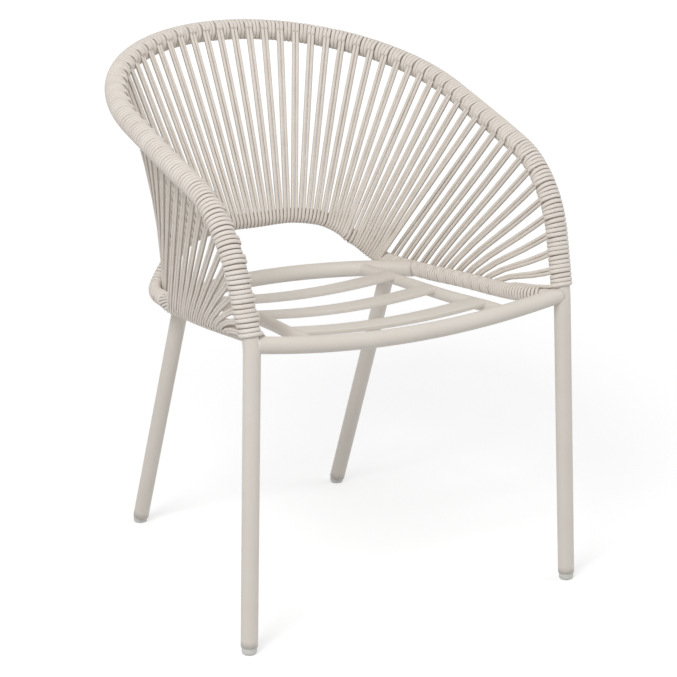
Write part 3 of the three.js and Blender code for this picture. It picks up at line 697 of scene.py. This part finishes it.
# %% [markdown]
# ## Where the cord goes
# One long cord does everything. It is wound round the hoop edge to edge; after every four turns it
# leaves the hoop, runs straight and taut down to the lacing rail, goes once round the rail and comes
# back up beside itself: a pair of strands. The forty-one pairs of the back go down in front of the
# arch, nearly edge to edge at the bottom. The thirteen pairs of each side go down outside the side
# run. The lacing was done by hand, and the two sides are not quite alike: on the right the first
# pair starts at the rear corner, on the left the pairs start further forward and stand closer.

# %% Where each pair meets the rail
hoop_middle, rail_middle = HOOP.total / 2, RAIL.total / 2
corner_at = RAIL.lengths[np.argmin(np.linalg.norm(RAIL.points - corner, axis=1))]
arch_half = abs(rail_middle - corner_at)
side_run = rail_middle - arch_half
TOP_PAIRS, TOP_REACH = 10, 0.56          # the arch's even middle, as a share of its half length
ARCH_REACH = {1: 0.47, -1: 0.53}         # the rest of the arch, on the right (1) and the left (-1)
SIDE_SHARES = {1: (0.038, 0.677), -1: (0.233, 0.664)}    # first and last pair on each side run
SIDE_GAPS = {1: 3.6, -1: 3.45}
SIDE_TURNS = {1: 4, -1: 3}               # how many loops would fit from one side pair to the next
RAIL_CORD = 3.0                          # the cord's thickness pressed on the rail


def side_of(pair):
    return -1 if pair < 0 else 1


def rail_shift(pair):
    """How far along the rail from the middle of the arch a pair lands."""
    order, sign = abs(pair), side_of(pair)
    if order <= TOP_PAIRS:
        return sign * arch_half * TOP_REACH * order / TOP_PAIRS
    if order <= ARCH_PAIRS:
        beyond = (order - TOP_PAIRS) / (ARCH_PAIRS - TOP_PAIRS)
        return sign * arch_half * (TOP_REACH + ARCH_REACH[sign] * beyond)
    first, last = SIDE_SHARES[sign]
    share = first + (last - first) * (order - ARCH_PAIRS - 1) / (SIDE_PAIRS - 1)
    return sign * (arch_half + side_run * share)


def half_gap(pair):
    """How far each strand of a pair sits from the pair's middle, on the rail."""
    sign = side_of(pair)
    if abs(pair) > ARCH_PAIRS:
        return SIDE_GAPS[sign]
    near = min(abs(pair), ARCH_PAIRS - 1) * sign
    return abs(rail_shift(near + sign) - rail_shift(near)) / 4


def loop_gap(pair):
    """The same for the loops under the rail, which draw together to make room for plain turns."""
    if abs(pair) <= ARCH_PAIRS:
        return half_gap(pair)
    sign = side_of(pair)
    step = abs(rail_shift(sign * LAST_PAIR) - rail_shift(sign * (LAST_PAIR - 1)))
    return step / 2 / SIDE_TURNS[sign]


print("pairs meet the rail at", [round(float(rail_shift(p))) for p in range(0, LAST_PAIR + 1, 3)])

# %% [markdown]
# A taut strand touches both round tubes, so its straight part is the line that touches both
# circles. It is found by a few rounds of correction: guess the line, see which side of each tube it
# touches, and draw it again from there.

# %% The taut line
TWIN_HALF = 2.65       # how far each strand of a pair sits from the pair's middle, on the hoop
STRAND_OUT = TUBE + WRAP_THICK / 2 + HAIR


def taut_line(pair, twin):
    """Where a strand leaves the hoop and meets the rail, and which way it faces at each."""
    hoop_at = hoop_middle + pair * PAIR_STEP + twin * TWIN_HALF
    rail_at = rail_middle + rail_shift(pair) + twin * half_gap(pair)
    hoop_point, hoop_way = HOOP.at(hoop_at), HOOP.heading(hoop_at)
    rail_point, rail_way = RAIL.at(rail_at), RAIL.heading(rail_at)
    side_sign = 1 if abs(pair) <= ARCH_PAIRS else -1
    way = unit(rail_point - hoop_point)
    for _ in range(6):
        hoop_out = unit(np.cross(hoop_way, way))
        hoop_out = hoop_out * np.sign(hoop_out @ inward(hoop_point, hoop_way))
        rail_out = unit(np.cross(rail_way, way))
        rail_out = rail_out * np.sign(rail_out @ inward(rail_point, rail_way)) * side_sign
        top = hoop_point + hoop_out * STRAND_OUT
        foot = rail_point + rail_out * (ROD + RAIL_CORD / 2)
        way = unit(foot - top)
    return hoop_point, hoop_way, hoop_out, rail_point, rail_way, rail_out, top, foot, way, side_sign


def seam_angle(pair):
    """The angle round the hoop, down from facing inwards, at which a pair leaves it."""
    hoop_point, hoop_way, hoop_out = taut_line(pair, 0)[:3]
    facing = inward(hoop_point, hoop_way)
    return math.atan2(hoop_out @ np.cross(hoop_way, facing), hoop_out @ facing)


SEAMS = np.array([seam_angle(pair) for pair in range(-LAST_PAIR, LAST_PAIR + 1)])
print("pairs leave the hoop at", np.degrees(SEAMS[LAST_PAIR::6]).round(), "degrees")

# %% [markdown]
# ## Winding the hoop
# The winding is a sweep along a helix, edge to edge, and the section's flat side always faces the
# tube. It was wound from the middle of the back down to each front joint, so the left half is the
# mirror of the right, with about a hundred and thirty turns each. They come in groups of four. The
# group is pulled tight before the next pair is taken off, which leaves a dark seam beside each pair.
# Two of the four turns pass over the pair's two strands, so there they are raised in a small lip.

# %% A helix round a route
def helix(route, along, turn, radius):
    """Centre, across and outward directions of a cord wound round a route."""
    point, heading = route.at(along), route.heading(along)
    facing = inward(point, heading)
    above = np.cross(heading, facing)
    outward = facing * np.cos(turn)[:, None] + above * np.sin(turn)[:, None]
    centre = point + outward * np.broadcast_to(radius, len(turn))[:, None]
    forward = unit(np.gradient(centre, axis=0))
    return centre, unit(np.cross(forward, outward)), outward


# %% How far the winding reaches
END_LOW = 4.5          # how far the last turn hangs below the front rail's top
wind_low = SEAT_FRONT_HIGH + TUBE - END_LOW + WRAP_STEP / 2
wind_reach = hoop_middle - HOOP.lengths[np.argmax(HOOP.points[:, 2] > wind_low)]
half_turns = round(wind_reach / WRAP_STEP)
wind_half = half_turns * WRAP_STEP
print("turns on each half of the hoop:", half_turns)

# %% Seams and lips
SEAM_BACK, SEAM_FRONT = 0.3, 0.5         # how far a group is pulled together, back and front
LIP, DIP = 2.3, 1.2                      # over a pair's strands, and just below them


def group_seams(along):
    """Moves the turns of one group together, and so apart at the seam beside each pair."""
    place = along - hoop_middle
    pull = SEAM_BACK + (SEAM_FRONT - SEAM_BACK) * np.abs(place) / wind_half
    cycle = (np.abs(place) - WRAP_STEP) % PAIR_STEP
    half = WRAP_STEP / 2
    return np.sign(place) * pull * np.interp(
        cycle, [0, half, PAIR_STEP - half, PAIR_STEP], [0, 1, -1, 0])


def seam_lift(along, turn):
    """Raises a turn where it passes over the two strands of a pair, and presses it in below."""
    place = (along - hoop_middle) / PAIR_STEP
    pair = np.clip(np.round(place), -LAST_PAIR, LAST_PAIR).astype(int)
    beside = np.abs(place - pair) * PAIR_STEP
    above = -np.degrees((turn - SEAMS[pair + LAST_PAIR] + math.pi) % (2 * math.pi) - math.pi)
    over = np.interp(above, [-12, -6, 14, 44], [0, 1, 1, 0])
    under = np.interp(above, [-60, -40, -18, -12], [0, 1, 1, 0])
    lift = LIP * over * over * (3 - 2 * over) - DIP * under
    return lift * np.interp(beside, [4.5, 7], [1, 0])


# %% The winding
SLACK = 0.14           # left free on each side of a turn
SQUARE = 0.68          # how squarely the cord is pressed between its neighbours
TAIL = 30              # degrees past the last whole turn, to end on the leg's inner side

one_turn = [*range(12, 300, 18), *range(300, 372, 6)]    # closer where a turn may be raised
turns = [0, *[360 * k + a for k in range(half_turns + 1) for a in one_turn]]
turns = np.radians([a for a in turns if a <= 360 * half_turns + TAIL])
mesh = bmesh.new()
for side in (-1, 1):
    along = hoop_middle + side * WRAP_STEP * (turns / (2 * math.pi) - 0.5)
    centre, across, outward = helix(HOOP, along + group_seams(along), turns,
                                    TUBE + WRAP_THICK / 2 + seam_lift(along, turns))
    add_sweep(mesh, centre, across, outward, WRAP_STEP / 2 - SLACK, WRAP_THICK / 2, 8, SQUARE)
finish_mesh("hoop_cord_turns", mesh, CORD_FINISH, ["hoop_winding"])

# %% [markdown]
# ## Lacing the tub
# Each strand starts under the lip, follows the hoop down to where its straight part begins, rounds
# out to its free thickness, and is pressed flat again where it goes round the rail. The lowest side
# strands run almost along the rail, and bow up a little before they dive round it.

# %% One strand
TUCKED = ((34, 1.2), (21, 0.8), (9, 0.3))      # degrees above the seam, and how deep it lies there
SHARES = (0.0, 0.03, 0.07, 0.14, 0.32, 0.5, 0.68, 0.86, 0.93, 0.97, 1.0)
PRESSED_HALF, LOOP_HALF = 2.5, 2.6             # half the width on the hoop, and at most on the rail
FIRM_REACH = 14.0                              # over which a strand rounds out
BOW_MOST, BOW_SHARE = 8.0, 0.065               # in millimetres, and of the strand's length
SLIDE_FADE, DRAW_FADE = 0.7, 0.6               # how soon a loop turns square, in radians round it


def strand(mesh, pair, twin):
    """One strand, from under the hoop's turns down to the rail and round it."""
    (hoop_point, hoop_way, hoop_out, rail_point, rail_way, rail_out,
     top, foot, way, side_sign) = taut_line(pair, twin)
    flat = RAIL_CORD / 2
    up = unit(-way + hoop_way * (way @ hoop_way))
    down = unit(way - rail_way * (way @ rail_way))
    stations = []          # each has a place, a way to face, half a width and half a thickness
    for angle, sink in TUCKED:
        a = math.radians(angle)
        out = hoop_out * math.cos(a) + up * math.sin(a)
        lead = -(way @ hoop_way) * STRAND_OUT * a / 2
        stations.append((hoop_point + out * (STRAND_OUT - sink) + hoop_way * lead, out,
                         PRESSED_HALF, WRAP_THICK / 2))
    length = np.linalg.norm(foot - top)
    bow = unit(way * (way @ down) - down) * (way @ rail_way) ** 4
    bow = bow * min(BOW_MOST, BOW_SHARE * length)
    loop_wide = min(LOOP_HALF, loop_gap(pair) * 0.97)
    for share in SHARES:
        firm = np.clip(min(share, 1 - share) * length / FIRM_REACH, 0, 1)
        out = unit(hoop_out * (1 - share) + rail_out * share * side_sign)
        w, t = (PRESSED_HALF, WRAP_THICK / 2) if share <= 0.5 else (loop_wide, flat)
        bowed = bow * 256 / 27 * share ** 3 * (1 - share)
        stations.append((top + (foot - top) * share + bowed, unit(out - way * (out @ way)),
                         w + (CORD / 2 - w) * firm, t + (CORD / 2 - t) * firm))
    for angle in range(20, 321, 20):
        a = math.radians(angle)
        out = rail_out * math.cos(a) + down * math.sin(a)
        slide = (way @ rail_way) * (ROD + flat) * a * math.exp(-a / SLIDE_FADE)
        drawn = twin * (half_gap(pair) - loop_gap(pair)) * (1 - math.exp(-a / DRAW_FADE))
        sink = max(0, angle - 280) / 16
        stations.append((rail_point + out * (ROD + flat - sink) + rail_way * (slide - drawn),
                         out * side_sign, loop_wide, flat))
    centre, outward, wide, thick = (np.array(column) for column in zip(*stations))
    forward = unit(np.gradient(centre, axis=0))
    outward = unit(outward - forward * np.sum(outward * forward, axis=1, keepdims=True))
    add_sweep(mesh, centre, np.cross(forward, outward), outward, wide, thick, 10)


# %% [markdown]
# Along the side runs the pairs stand apart, and plain turns fill the rail between them and forward
# to where the rod is left bare before it meets the leg. Round the left rear corner the way is
# longest: plain turns come down the arch, and a bundle of cords laid steeply covers the bend.

# %% Plain and steep turns on the rail
BARE = 28.0            # of the rod, up to the middle of the leg
RAIL_STEP = 5.0        # from one plain turn to the next, at most a little more or less
TURN_HALF = 0.485      # half the width of a plain turn, as a share of its step
BEND_SHARE = 0.42      # of a long way, where steep cords take over


def plain_turns(mesh, start, end):
    """Winds the rail edge to edge between two places, if at least one turn fits."""
    count = round(abs(end - start) / RAIL_STEP)
    if count:
        turn = np.linspace(math.pi, (2 * count + 1) * math.pi, 16 * count + 1)
        along = np.linspace(start, end, len(turn))
        centre, across, outward = helix(RAIL, along, turn, ROD + RAIL_CORD / 2 - 1.5 * HAIR)
        add_sweep(mesh, centre, across, outward, abs(end - start) / count * TURN_HALF,
                  RAIL_CORD / 2, 8, 0.9)
    return count


def steep_turns(mesh, start, end, cords=11, rise=150.0, half_wide=2.35):
    """Covers the rail with a few cords side by side, all climbing it steeply."""
    turn = np.linspace(0, 2 * math.pi * abs(end - start) / rise, 40)
    along = np.linspace(start, end, len(turn))
    for k in range(cords):
        first = 2 * math.pi * k / cords
        centre, across, outward = helix(RAIL, along, turn + first, ROD + RAIL_CORD / 2)
        add_sweep(mesh, centre, across, outward, half_wide, RAIL_CORD / 2, 8)
    return cords


def fill_rail(mesh, pairs, sign):
    """Fills the rail between and beyond the pairs of one side, and counts the cords it takes."""
    filled = 0
    for here, there in zip([ARCH_PAIRS * sign, *pairs], pairs):
        start = rail_middle + rail_shift(here) + sign * 2 * loop_gap(here)
        end = rail_middle + rail_shift(there) - sign * 2 * loop_gap(there)
        bend = end
        if abs(end - start) > 2 * PAIR_STEP:
            bend = start + (end - start) * BEND_SHARE
            filled += steep_turns(mesh, bend, end)
        filled += plain_turns(mesh, start, bend)
    start = rail_middle + rail_shift(pairs[-1]) + sign * 2 * loop_gap(pairs[-1])
    return filled + plain_turns(mesh, start, rail_middle + sign * (rail_middle - BARE))


# %% All the lacing
def lacing(name, pairs, nodes, sign=0):
    """Laces some pairs; a sign of 1 or -1 also fills the rail of the right or left side."""
    mesh = bmesh.new()
    for pair in pairs:
        for twin in (-1, 1):
            strand(mesh, pair, twin)
    filled = fill_rail(mesh, pairs, sign) if sign else 0
    finish_mesh(name, mesh, CORD_FINISH, nodes)
    print(name, "pairs:", len(pairs), "turns between:", filled)


lacing("back_lacing", range(-ARCH_PAIRS, ARCH_PAIRS + 1),
       [f"lacing_back_{n}" for n in ("outer_left", "inner_left", "centre", "inner_right",
                                     "outer_right")])
for sign, side_name in ((-1, "left"), (1, "right")):
    lacing(f"side_lacing_{side_name}", [sign * p for p in range(ARCH_PAIRS + 1, LAST_PAIR + 1)],
           [f"lacing_side_rear_{side_name}", f"lacing_side_front_{side_name}"], sign)

# %% [markdown]
# ## The studio
# The chair was photographed on white, in soft light from above and the left. A big lamp hangs to the
# left front, a weaker one fills from the right, and a pale sky lights the rest. The floor is plain
# and pale. A brighter floor would throw too much light up under the arms, so floor and sky are white
# only to the camera: a Light Path node tells its rays from the light that bounces. The chair's own
# soft shadow stays.

# %% What the camera sees straight
def seen_straight(tree):
    """1 for what the camera sees itself, in a mirror or through glass; 0 for light that bounces."""
    path = tree.nodes.new("ShaderNodeLightPath")
    return maths(tree, "MAXIMUM", path.outputs["Is Camera Ray"],
                 maths(tree, "MAXIMUM", path.outputs["Is Glossy Ray"],
                       path.outputs["Is Transmission Ray"]))


# %% Floor
FLOOR_GREY = 0.66
GLOW_NEAR, GLOW_FAR = 0.45, 0.72         # the white that the camera sees besides the lit floor
NEAR, FAR = 0.8, 5.0                     # in metres from the chair

mesh = bmesh.new()
bmesh.ops.create_grid(mesh, x_segments=1, y_segments=1, size=30.0)
data = bpy.data.meshes.new("floor")
mesh.to_mesh(data)
mesh.free()
floor = bpy.data.objects.new("floor", data)
bpy.context.collection.objects.link(floor)
pale, tree, shader = new_material("pale_floor")
shader.inputs["Base Color"].default_value = (FLOOR_GREY, FLOOR_GREY, FLOOR_GREY, 1)
shader.inputs["Roughness"].default_value = 0.9
shader.inputs["Specular IOR Level"].default_value = 0.1
place = tree.nodes.new("ShaderNodeTexCoord")
distance = add_node(tree, "ShaderNodeVectorMath", {"operation": "LENGTH"})
tree.links.new(place.outputs["Object"], distance.inputs[0])
away = add_node(tree, "ShaderNodeMapRange", From_Min=NEAR, From_Max=FAR, To_Min=GLOW_NEAR,
                To_Max=GLOW_FAR)
tree.links.new(distance.outputs["Value"], away.inputs["Value"])
glow = maths(tree, "MULTIPLY", seen_straight(tree), away.outputs["Result"])
shader.inputs["Emission Color"].default_value = (1, 1, 1, 1)
tree.links.new(glow, shader.inputs["Emission Strength"])
data.materials.append(pale)
print("floor:", pale.name)

# %% Sky
SKY = 0.60

world = bpy.data.worlds.new("soft_sky")
bpy.context.scene.world = world
world.use_nodes = True
tree = world.node_tree
sky = tree.nodes["Background"]
sky.inputs["Color"].default_value = (1, 1, 1, 1)
tree.links.new(maths(tree, "MAXIMUM", seen_straight(tree), SKY), sky.inputs["Strength"])
print("sky:", world.name, SKY)


# %% Lamps
def soft_lamp(name, place, aim, size, power):
    lamp = bpy.data.lights.new(name, "AREA")
    lamp.shape, lamp.size, lamp.energy = "DISK", size, power
    held = bpy.data.objects.new(name, lamp)
    held.location = place
    held.rotation_euler = (Vector(aim) - Vector(place)).to_track_quat("-Z", "Y").to_euler()
    bpy.context.collection.objects.link(held)
    return held


key = soft_lamp("key_lamp", (-2.2, -1.8, 3.0), (0, 0, 0.4), 1.6, 65)
fill = soft_lamp("fill_lamp", (2.6, -1.2, 1.6), (0, 0, 0.4), 2.0, 14)
print("lamps:", key.name, fill.name)

# %% [markdown]
# ## The camera
# The photograph was taken from the front and the left, from slightly above. The direction, the
# distance and the lens were worked out from the chair's own edges, whose left and right halves
# mirror each other.

# %% Camera
AZIMUTH, ELEVATION = math.radians(-30.16), math.radians(16.79)
AIM, DISTANCE = Vector((0, -0.0772, 0.3241)), 3.098
PICTURE_PIXELS, LENS_PIXELS = 677, 2327
SENSOR = 36.0

back = Vector((math.sin(AZIMUTH) * math.cos(ELEVATION), -math.cos(AZIMUTH) * math.cos(ELEVATION),
               math.sin(ELEVATION)))
lens = bpy.data.cameras.new("camera")
lens.sensor_width, lens.lens = SENSOR, SENSOR * LENS_PIXELS / PICTURE_PIXELS
lens.clip_start, lens.clip_end = 0.05, 100
camera = bpy.data.objects.new("camera", lens)
camera.location = AIM + back * DISTANCE
camera.rotation_euler = (-back).to_track_quat("-Z", "Y").to_euler()
bpy.context.collection.objects.link(camera)
bpy.context.scene.camera = camera
bpy.context.scene.view_settings.view_transform = "Standard"
print("lens:", round(lens.lens, 1), "mm")
